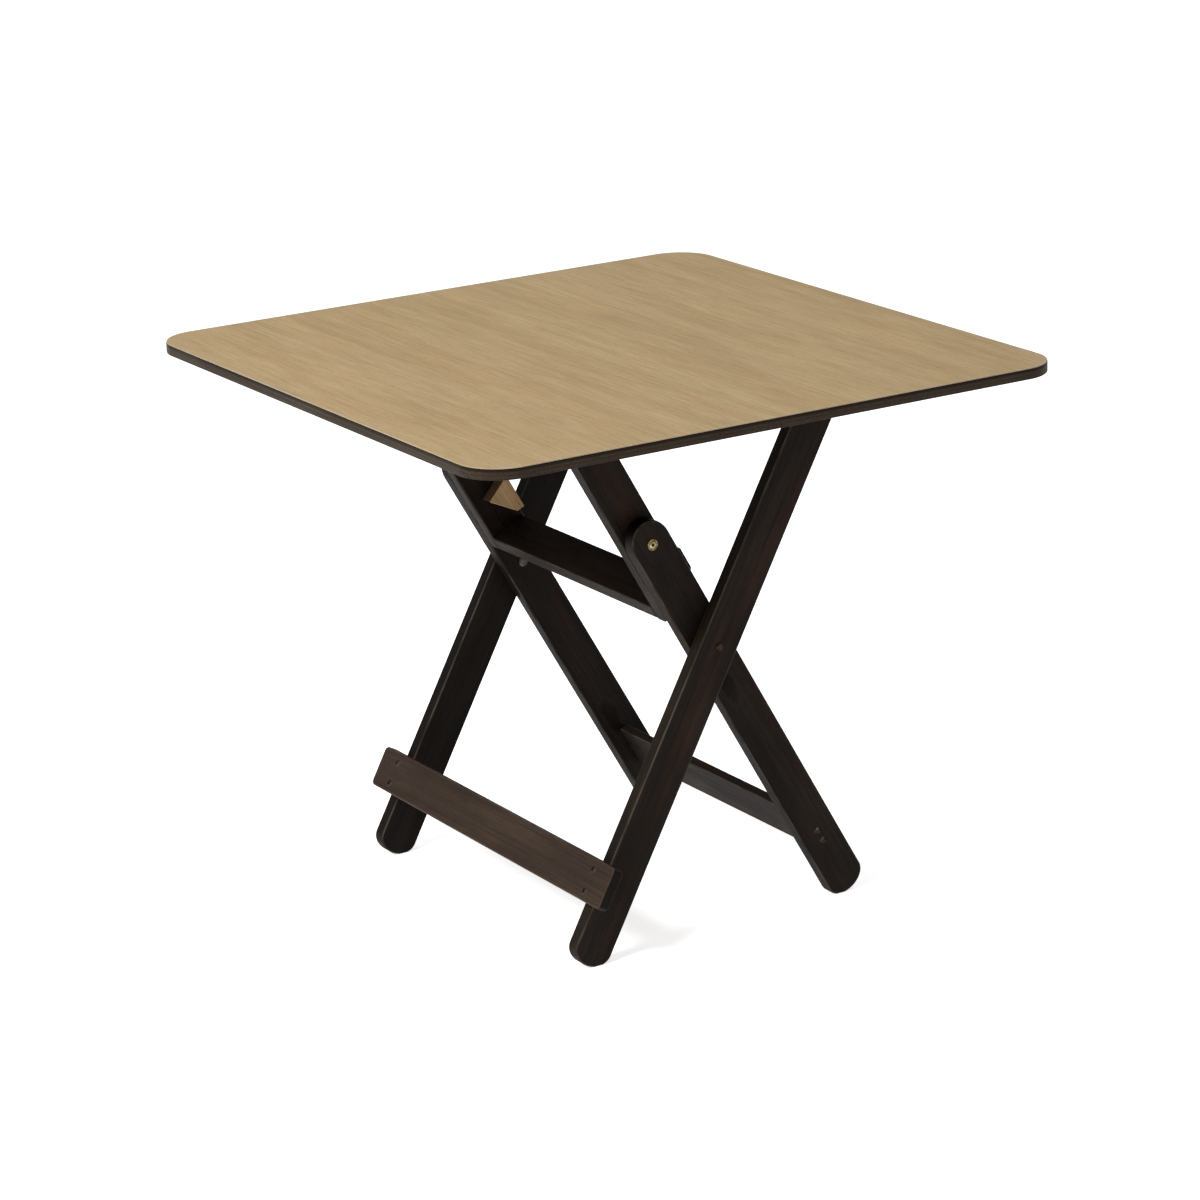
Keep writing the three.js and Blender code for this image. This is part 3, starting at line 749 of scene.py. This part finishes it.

# %% [markdown]
# ### Edge wear and highlight
# Hands and floors rub the edges first, and the same mask paints a highlight along them. We stored
# how near each corner is to an edge while we cut the boards, so the group only has to break that
# up with noise. It works at any size of board.

# %% Group: edge wear and highlight
edge_wear_and_highlight, given, made = open_group(
    "Edge wear and highlight",
    [("Place", "Vector", None), ("Amount", "Float", 0.6)],
    [("Mask", "Float")],
)
tree = edge_wear_and_highlight
# The mask rises on rounded edges; the pale colour it mixes in is wear and a painted highlight.
wear_dirt_and_painted_light = add(tree, "ShaderNodeAttribute", attribute_name="wear_dirt_and_painted_light").outputs["Fac"]
broken = ranged(tree, noise(tree, given["Place"], (26, 160, 160), 4.0, 0.65), 0.36, 0.62, 0.25, 1.0)
mask = sums(tree, "MULTIPLY", sums(tree, "MULTIPLY", wear_dirt_and_painted_light, broken), given["Amount"])
tree.links.new(mask, made["Mask"])
print("group made:", edge_wear_and_highlight.name)

# %% [markdown]
# ### Nail bruises
# A nail driven by hand leaves a slanted dent and a pale smear of filler beside it. The group
# measures how far a point is from one nail, along and across, and fades two small masks out.

# %% Group: nail bruise
nail_bruise, given, made = open_group(
    "Nail bruise",
    [("Place", "Vector", None), ("Nail", "Vector", None), ("Size", "Float", 0.004)],
    [("Dent", "Float"), ("Smear", "Float")],
)
tree = nail_bruise
slant = 0.7
away = vectors(tree, "SUBTRACT", given["Place"], given["Nail"])
turning = {"Vector": away, "Angle": slant}
turned_away = add(tree, "ShaderNodeVectorRotate", turning, rotation_type="Z_AXIS").outputs[0]
narrow = vectors(tree, "MULTIPLY", turned_away, (1.0, 2.3, 0.0))
reach = add(tree, "ShaderNodeVectorMath", {0: narrow}, operation="LENGTH").outputs["Value"]
share = sums(tree, "DIVIDE", reach, given["Size"])
rim_noise = noise(tree, given["Place"], (500, 500, 500))
rough_rim = sums(tree, "ADD", share, sums(tree, "MULTIPLY", rim_noise, 0.5))
tree.links.new(ranged(tree, rough_rim, 1.25, 0.85), made["Dent"])
beside = vectors(tree, "ADD", narrow, (0.0, 0.0042, 0.0))
reach = add(tree, "ShaderNodeVectorMath", {0: beside}, operation="LENGTH").outputs["Value"]
tree.links.new(ranged(tree, sums(tree, "DIVIDE", reach, given["Size"]), 1.25, 0.55), made["Smear"])
print("group made:", nail_bruise.name)

# %% [markdown]
# ### Knots
# Where a twig once grew, the wood shows a dark eye with the grain swirling round it. We measure
# the distance from the eye, longer along the board than across it, and draw rings of that
# distance that fade out.

# %% Group: knot
knot, given, made = open_group(
    "Knot",
    [("Place", "Vector", None), ("Eye", "Vector", None), ("Size", "Float", 0.009)],
    [("Core", "Float"), ("Rings", "Float")],
)
tree = knot
away = vectors(tree, "SUBTRACT", given["Place"], given["Eye"])
oval = vectors(tree, "MULTIPLY", away, (0.38, 1.0, 0.6))
reach = add(tree, "ShaderNodeVectorMath", {0: oval}, operation="LENGTH").outputs["Value"]
ragged = sums(tree, "MULTIPLY", noise(tree, given["Place"], (70, 180, 180), 4.0, 0.7), 1.6)
share = sums(tree, "ADD", sums(tree, "DIVIDE", reach, given["Size"]), sums(tree, "SUBTRACT", ragged, 0.8))
rings = sums(tree, "MULTIPLY_ADD", sums(tree, "SINE", sums(tree, "MULTIPLY", share, 8.0)), 0.5, 0.5)
tree.links.new(ranged(tree, share, 1.3, 0.2), made["Core"])
tree.links.new(sums(tree, "MULTIPLY", rings, ranged(tree, share, 2.4, 0.9)), made["Rings"])
print("group made:", knot.name)

# %% [markdown]
# ## Opening a material
# Each finish starts from the Principled shader. Numbers that are the same all over, such as how
# strongly varnish mirrors, are set on the shader itself. Only what changes over the surface comes
# in by wire.

# %% Helper that opens a material
def open_finish(name, mirror, metal=0.0):
    material = bpy.data.materials.new(name)
    material.use_nodes = True
    tree = material.node_tree
    shader = tree.nodes["Principled BSDF"]
    shader.inputs["Specular IOR Level"].default_value = mirror
    shader.inputs["Metallic"].default_value = metal
    place = add(tree, "ShaderNodeAttribute", attribute_name="place").outputs["Vector"]
    return material, tree, shader, place


def close_finish(tree, shader, colour, roughness, height, depth):
    """Wires colour and roughness, and a bump whose full height is depth metres."""
    bump = add(tree, "ShaderNodeBump", {"Height": height, "Strength": 1.0, "Distance": depth})
    tree.links.new(colour, shader.inputs["Base Color"])
    tree.links.new(roughness, shader.inputs["Roughness"])
    tree.links.new(bump.outputs[0], shader.inputs["Normal"])


# %% [markdown]
# ## Stained wood
# The legs are plain boards under a nearly black stain, with a satin shine. Grain lines show as
# slightly lighter brown, pores as black dashes, and the edges go grey-brown, partly wear and partly
# a painted highlight. The front stretcher has one thin coat and looks a good deal browner, and the
# backing blocks have none. The same recipe serves all three, with other paints.

# %% The wood recipe
def wood_finish(
    name, deep, body, streak, warm, rub_and_highlight, rub_and_highlight_amount, gloss, mirror, ends=0.3, nails=(), knots=(),
):
    """ends is how much of the deep paint is left in sawn ends, which drink the most stain."""
    material, tree, shader, place = open_finish(name, mirror)
    grain = use(tree, straight_grain, Place=place)
    stain = use(tree, uneven_stain, Place=place)
    black = tuple(c * 0.3 for c in paint(*deep)[:3]) + (1,)
    end_tone = tuple(c * ends for c in paint(*deep)[:3]) + (1,)
    colour = mixed(tree, grain["Streaks"], paint(*deep), paint(*body))
    colour = mixed(tree, sums(tree, "MULTIPLY", grain["Lines"], 0.5), colour, paint(*streak))
    colour = mixed(tree, sums(tree, "MULTIPLY", stain["Warmth"], 0.5), colour, paint(*warm))
    colour = mixed(tree, sums(tree, "MULTIPLY", stain["Patches"], 0.55), colour, paint(*deep))
    colour = mixed(tree, sums(tree, "MULTIPLY", grain["Pores"], 0.7), colour, black)
    height = sums(tree, "SUBTRACT", sums(tree, "MULTIPLY", grain["Lines"], 0.45), grain["Pores"])
    for eye in knots:
        swirl = use(tree, knot, Place=place, Eye=eye)
        colour = mixed(tree, sums(tree, "MULTIPLY", swirl["Rings"], 0.3), colour, paint(*streak))
        colour = mixed(tree, sums(tree, "MULTIPLY", swirl["Core"], 0.85), colour, black)
        height = sums(tree, "ADD", height, swirl["Rings"])
    # Painted shade: boards listed in the painting step are darkened all over towards black.
    painted_board_shade = add(tree, "ShaderNodeAttribute", attribute_name="painted_board_shade").outputs["Fac"]
    colour = mixed(tree, painted_board_shade, colour, black)
    # Edges are mixed towards a pale grey-brown: wear, and a painted highlight.
    rubbed = use(tree, edge_wear_and_highlight, Place=place, Amount=rub_and_highlight_amount)["Mask"]
    colour = mixed(tree, rubbed, colour, paint(*rub_and_highlight))
    across = add(tree, "ShaderNodeAttribute", attribute_name="end grain").outputs["Fac"]
    colour = mixed(tree, ranged(tree, across, 0.45, 0.95, 0.0, 0.96), colour, end_tone)
    for spot in nails:
        bruise = use(tree, nail_bruise, Place=place, Nail=spot)
        colour = mixed(tree, sums(tree, "MULTIPLY", bruise["Smear"], 0.4), colour, paint(*rub_and_highlight))
        colour = mixed(tree, bruise["Dent"], colour, paint(18, 14, 12))
        height = sums(tree, "SUBTRACT", height, bruise["Dent"])
    roughness = sums(tree, "MULTIPLY_ADD", grain["Lines"], 0.1, gloss)
    roughness = sums(tree, "ADD", roughness, sums(tree, "MULTIPLY", stain["Patches"], 0.1))
    close_finish(tree, shader, colour, roughness, height, 0.00012)
    return material


print("recipe ready for", sorted(waiting))

# %% Mix the three wood finishes
dark_wood = wood_finish(
    "espresso stained wood", (14, 12, 10), (31, 24, 18), (51, 40, 31), (50, 29, 21), (78, 72, 62), 0.7,
    gloss=0.46, mirror=0.05, nails=nail_spots["dark_wood"], knots=knot_spots,
)
brown_wood = wood_finish(
    "thinly stained wood", (40, 31, 25), (56, 44, 35), (72, 58, 46), (66, 47, 35), (84, 73, 62), 0.6,
    gloss=0.48, mirror=0.08, ends=0.06, nails=nail_spots["brown_wood"],
)
bare_wood = wood_finish(
    "bare sawn wood", (130, 102, 68), (160, 130, 92), (178, 148, 112), (150, 112, 72), (186, 160, 126), 0.4,
    gloss=0.66, mirror=0.12,
)
print("wood finishes:", dark_wood.name, "/", brown_wood.name, "/", bare_wood.name)

# %% [markdown]
# ## Tabletop laminate
# The top is a printed oak sheet. Its grain runs from side to side in narrow strips, each a touch
# lighter or darker than the next, like a board glued up from staves. The print is nearly flat, so
# the bump is very small, and a satin lacquer gives it a broad soft shine.

# %% Group: glued strips
glued_strips, given, made = open_group(
    "Glued strips",
    [("Place", "Vector", None), ("Strip width", "Float", 0.045)],
    [("Tone", "Float"), ("Seam", "Float")],
)
tree = glued_strips
across = add(tree, "ShaderNodeSeparateXYZ", {0: given["Place"]}).outputs
count_up = sums(tree, "DIVIDE", across[1], given["Strip width"])
strip = sums(tree, "FLOOR", count_up)
tone = add(tree, "ShaderNodeTexWhiteNoise", {"W": strip}, noise_dimensions="1D").outputs["Value"]
from_seam = sums(tree, "ABSOLUTE", sums(tree, "SUBTRACT", sums(tree, "FRACT", count_up), 0.5))
tree.links.new(tone, made["Tone"])
tree.links.new(ranged(tree, from_seam, 0.485, 0.499), made["Seam"])
print("group made:", glued_strips.name)

# %% Mix the laminate
laminate, tree, shader, place = open_finish("oak print laminate", 0.16)
grain = use(tree, straight_grain, Place=place, Waviness=0.002, Shortness=2.6)
stain = use(tree, uneven_stain, Place=place)
strips = use(tree, glued_strips, Place=place)
colour = mixed(tree, grain["Streaks"], paint(152, 129, 92), paint(162, 140, 103))
colour = mixed(tree, sums(tree, "MULTIPLY", strips["Tone"], 0.2), colour, paint(145, 118, 80))
colour = mixed(tree, sums(tree, "MULTIPLY", grain["Lines"], 0.5), colour, paint(128, 105, 70))
colour = mixed(tree, sums(tree, "MULTIPLY", stain["Patches"], 0.16), colour, paint(168, 148, 112))
colour = mixed(tree, sums(tree, "MULTIPLY", stain["Warmth"], 0.12), colour, paint(176, 138, 92))
colour = mixed(tree, sums(tree, "MULTIPLY", grain["Pores"], 0.5), colour, paint(96, 74, 44))
colour = mixed(tree, sums(tree, "MULTIPLY", strips["Seam"], 0.12), colour, paint(120, 94, 58))
# The eased rim of the sheet goes paler: wear, and a painted highlight.
rubbed = use(tree, edge_wear_and_highlight, Place=place, Amount=0.7)["Mask"]
colour = mixed(tree, rubbed, colour, paint(150, 140, 120))
roughness = sums(tree, "ADD", sums(tree, "MULTIPLY", grain["Lines"], 0.1), 0.4)
roughness = sums(tree, "ADD", roughness, sums(tree, "MULTIPLY", stain["Patches"], 0.06))
height = sums(tree, "SUBTRACT", sums(tree, "MULTIPLY", grain["Lines"], 0.3), grain["Pores"])
close_finish(tree, shader, colour, roughness, height, 0.00005)
print("finish mixed:", laminate.name)

# %% [markdown]
# ## Edge band and core
# The edge of the top is sealed with a dark band, wrapped all round. The core under it is brown
# fibreboard: thousands of pressed fibres, which we draw as fine speckle at two sizes.

# %% Mix the edge band and the core
edge_band, tree, shader, place = open_finish("dark edge band", 0.08)
stain = use(tree, uneven_stain, Place=place)
grain = use(tree, straight_grain, Place=place)
height_up = add(tree, "ShaderNodeSeparateXYZ", {0: place}).outputs[2]
colour = mixed(tree, grain["Lines"], paint(42, 33, 23), paint(59, 48, 34))
colour = mixed(tree, sums(tree, "MULTIPLY", stain["Patches"], 0.3), colour, paint(34, 27, 22))
middle_line = sums(tree, "SUBTRACT", height_up, 0.0042)
middle_line = ranged(tree, sums(tree, "ABSOLUTE", middle_line), 0.0011, 0.0003, 0.0, 0.4)
colour = mixed(tree, middle_line, colour, paint(26, 20, 16))
colour = mixed(tree, ranged(tree, height_up, 0.0062, 0.0076, 0.0, 0.85), colour, paint(16, 11, 7))
colour = mixed(tree, ranged(tree, height_up, 0.0018, 0.0004, 0.0, 0.6), colour, paint(20, 15, 12))
colour = mixed(tree, sums(tree, "MULTIPLY", stain["Specks"], 0.15), colour, paint(80, 68, 54))
# The rounded edges of the band go paler: wear, and a painted highlight.
colour = mixed(tree, use(tree, edge_wear_and_highlight, Place=place, Amount=0.35)["Mask"], colour, paint(58, 50, 40))
roughness = sums(tree, "MULTIPLY_ADD", stain["Patches"], 0.12, 0.44)
close_finish(tree, shader, colour, roughness, sums(tree, "ADD", grain["Lines"], stain["Specks"]), 0.00005)

core_board, tree, shader, place = open_finish("fibreboard core", 0.15)
fibres = ranged(tree, noise(tree, place, (500, 900, 500), 4.0, 0.7), 0.35, 0.65)
clumps = ranged(tree, noise(tree, place, (60, 60, 60), 5.0, 0.6), 0.35, 0.7)
colour = mixed(tree, fibres, paint(66, 48, 35), paint(96, 73, 54))
colour = mixed(tree, sums(tree, "MULTIPLY", clumps, 0.4), colour, paint(80, 60, 44))
# The rounded edges of the core go paler: wear, and a painted highlight.
colour = mixed(tree, use(tree, edge_wear_and_highlight, Place=place, Amount=0.5)["Mask"], colour, paint(116, 92, 70))
roughness = sums(tree, "MULTIPLY_ADD", fibres, 0.12, 0.72)
close_finish(tree, shader, colour, roughness, fibres, 0.00012)
print("finishes mixed:", edge_band.name, "and", core_board.name)

# %% [markdown]
# ## Metals
# The rivets at the knees are brass, and the rest is steel. Metal colour is what it reflects, so
# the variation goes mostly into roughness: fine scratches, plus dull patches where it has tarnished.
# Hollows and the undersides of heads go towards a dark grime colour where the lathe stored it:
# dirt, and painted shade.

# %% Mix the metals
def metal_finish(name, bright, dull, grime_and_shade, polish):
    material, tree, shader, place = open_finish(name, 0.5, metal=1.0)
    patches = ranged(tree, noise(tree, place, (240, 240, 240), 5.0, 0.65), 0.36, 0.64)
    scratches = ranged(tree, noise(tree, place, (400, 5200, 700), 2.0), 0.5, 0.72)
    # Hollows and undersides of heads are mixed towards the grime colour: dirt and painted shade. On the
    # cross bolts' outer ends the same mask carries their brown stain.
    dirt_and_painted_shade = add(tree, "ShaderNodeAttribute", attribute_name="wear_dirt_and_painted_light").outputs["Fac"]
    dirt_and_painted_shade = sums(tree, "MULTIPLY", dirt_and_painted_shade, ranged(tree, patches, 0.0, 1.0, 0.75, 1.0))
    colour = mixed(tree, patches, paint(*bright), paint(*dull))
    colour = mixed(tree, dirt_and_painted_shade, colour, paint(*grime_and_shade))
    roughness = sums(tree, "ADD", sums(tree, "MULTIPLY", patches, 0.18), sums(tree, "MULTIPLY", dirt_and_painted_shade, 0.3))
    roughness = sums(tree, "ADD", roughness, polish)
    close_finish(tree, shader, colour, roughness, sums(tree, "ADD", scratches, patches), 0.00002)
    return material


brass = metal_finish("brass rivet", (188, 172, 128), (140, 122, 78), (58, 48, 30), 0.34)
steel = metal_finish("zinc plated steel", (122, 118, 110), (88, 84, 78), (44, 38, 34), 0.36)
stained_steel = metal_finish("bolt end under stain", (86, 82, 76), (66, 60, 55), (50, 31, 26), 0.42)
dark_steel = metal_finish("blued steel", (92, 86, 82), (58, 53, 50), (26, 21, 19), 0.42)
print("metals mixed:", brass.name, steel.name, dark_steel.name)

# %% [markdown]
# ## Painting
# Every piece has been waiting in the list for its finish. A dictionary from slot to finish paints
# them all in one pass. The cross bolts went in before the stain, so their outer ends are brown.
# The far left boards and the inner right ones sit in the table's shade, so they are darkened all
# over as painted shade. One number per board says how much, and the wood finish reads it.

# %% Paint every piece
finishes = {
    "dark_wood": dark_wood, "brown_wood": brown_wood, "bare_wood": bare_wood,
    "oak_laminate": laminate, "dark_edge": edge_band, "board_core": core_board,
    "steel": steel, "brass": brass, "dark_steel": dark_steel,
}
# Painted shade: how much darker each board that sits in the table's shade is painted.
painted_shade_by_board = {
    "outer_leg_left": 0.5, "inner_leg_left": 0.42, "strut_left": 0.4,
    "inner_leg_right": 0.25, "strut_right": 0.2,
}
for slot, pieces in waiting.items():
    for piece in pieces:
        board = piece.name.removesuffix("_made")
        painted_board_shade = piece.data.attributes.new("painted_board_shade", "FLOAT", "POINT")
        painted_board_shade.data.foreach_set("value", [painted_shade_by_board.get(board, 0.0)] * len(piece.data.vertices))
        under_stain = piece.name.startswith("cross_bolt")
        piece.data.materials.append(stained_steel if under_stain else finishes[slot])
    print(slot, "on", len(pieces), "pieces")

# %% [markdown]
# # The studio
# A pale floor, a soft white sky all round, and two large soft lamps. The floor gives off a little
# light of its own, as a lit studio sweep does, so that shadows on it nearly vanish.

# %% Lay the floor
floor_mesh = bpy.data.meshes.new("floor")
floor_mesh.from_pydata([(-30, -30, 0), (30, -30, 0), (30, 30, 0), (-30, 30, 0)], [], [(0, 1, 2, 3)])
floor = bpy.data.objects.new("floor", floor_mesh)
bpy.context.scene.collection.objects.link(floor)
floor.location.z = -0.0002
floor_paint = bpy.data.materials.new("studio sweep")
floor_paint.use_nodes = True
sweep = floor_paint.node_tree.nodes["Principled BSDF"]
sweep.inputs["Base Color"].default_value = (0.86, 0.86, 0.86, 1)
sweep.inputs["Roughness"].default_value = 0.9
sweep.inputs["Specular IOR Level"].default_value = 0.0
sweep.inputs["Emission Color"].default_value = (1, 1, 1, 1)
sweep.inputs["Emission Strength"].default_value = 0.68
floor_mesh.materials.append(floor_paint)

# %% Hang the lamps
world = bpy.data.worlds.new("studio")
bpy.context.scene.world = world
world.use_nodes = True
sky = world.node_tree.nodes["Background"]
sky.inputs["Color"].default_value = (1, 1, 1, 1)
sky.inputs["Strength"].default_value = 0.38


def hang_lamp(name, place, aim, size, watts):
    lamp = bpy.data.lights.new(name, "AREA")
    lamp.shape, lamp.size, lamp.energy = "DISK", size, watts
    holder = bpy.data.objects.new(name, lamp)
    bpy.context.scene.collection.objects.link(holder)
    holder.location = place
    holder.rotation_euler = (Vector(aim) - Vector(place)).to_track_quat("-Z", "Y").to_euler()
    return holder


hang_lamp("key lamp", (-2.6, -0.7, 2.4), (0, 0, 0.25), 1.0, 105)
hang_lamp("top lamp", (0.4, 0.6, 3.2), (0, 0, 0.4), 2.4, 44)
print("lamps hung")

# %% [markdown]
# ## The camera
# A long lens from a few metres away, a little above the table and off to its front right. The
# camera leans by under two degrees, as a hand-held one does.

# %% Set up the camera
azimuth, elevation, lean = math.radians(-32.0), math.radians(17.3), math.radians(-1.65)
target, distance = Vector((-0.004, 0.0011, 0.2723)), 3.691
level_reach = math.cos(elevation)
towards = Vector((
    math.sin(azimuth) * level_reach, -math.cos(azimuth) * level_reach, math.sin(elevation),
))
right = Vector((math.cos(azimuth), math.sin(azimuth), 0))
up = towards.cross(right)
leaning_right = right * math.cos(lean) + up * math.sin(lean)
leaning_up = up * math.cos(lean) - right * math.sin(lean)
camera = bpy.data.objects.new("camera", bpy.data.cameras.new("camera"))
bpy.context.scene.collection.objects.link(camera)
camera.data.lens, camera.data.sensor_width = 120, 36
camera.data.clip_start, camera.data.clip_end = 0.1, 100
turned_to = Matrix((leaning_right, leaning_up, towards)).transposed().to_4x4()
camera.matrix_world = Matrix.Translation(target + towards * distance) @ turned_to
bpy.context.scene.camera = camera
print("camera stands at", [round(c, 3) for c in camera.location])
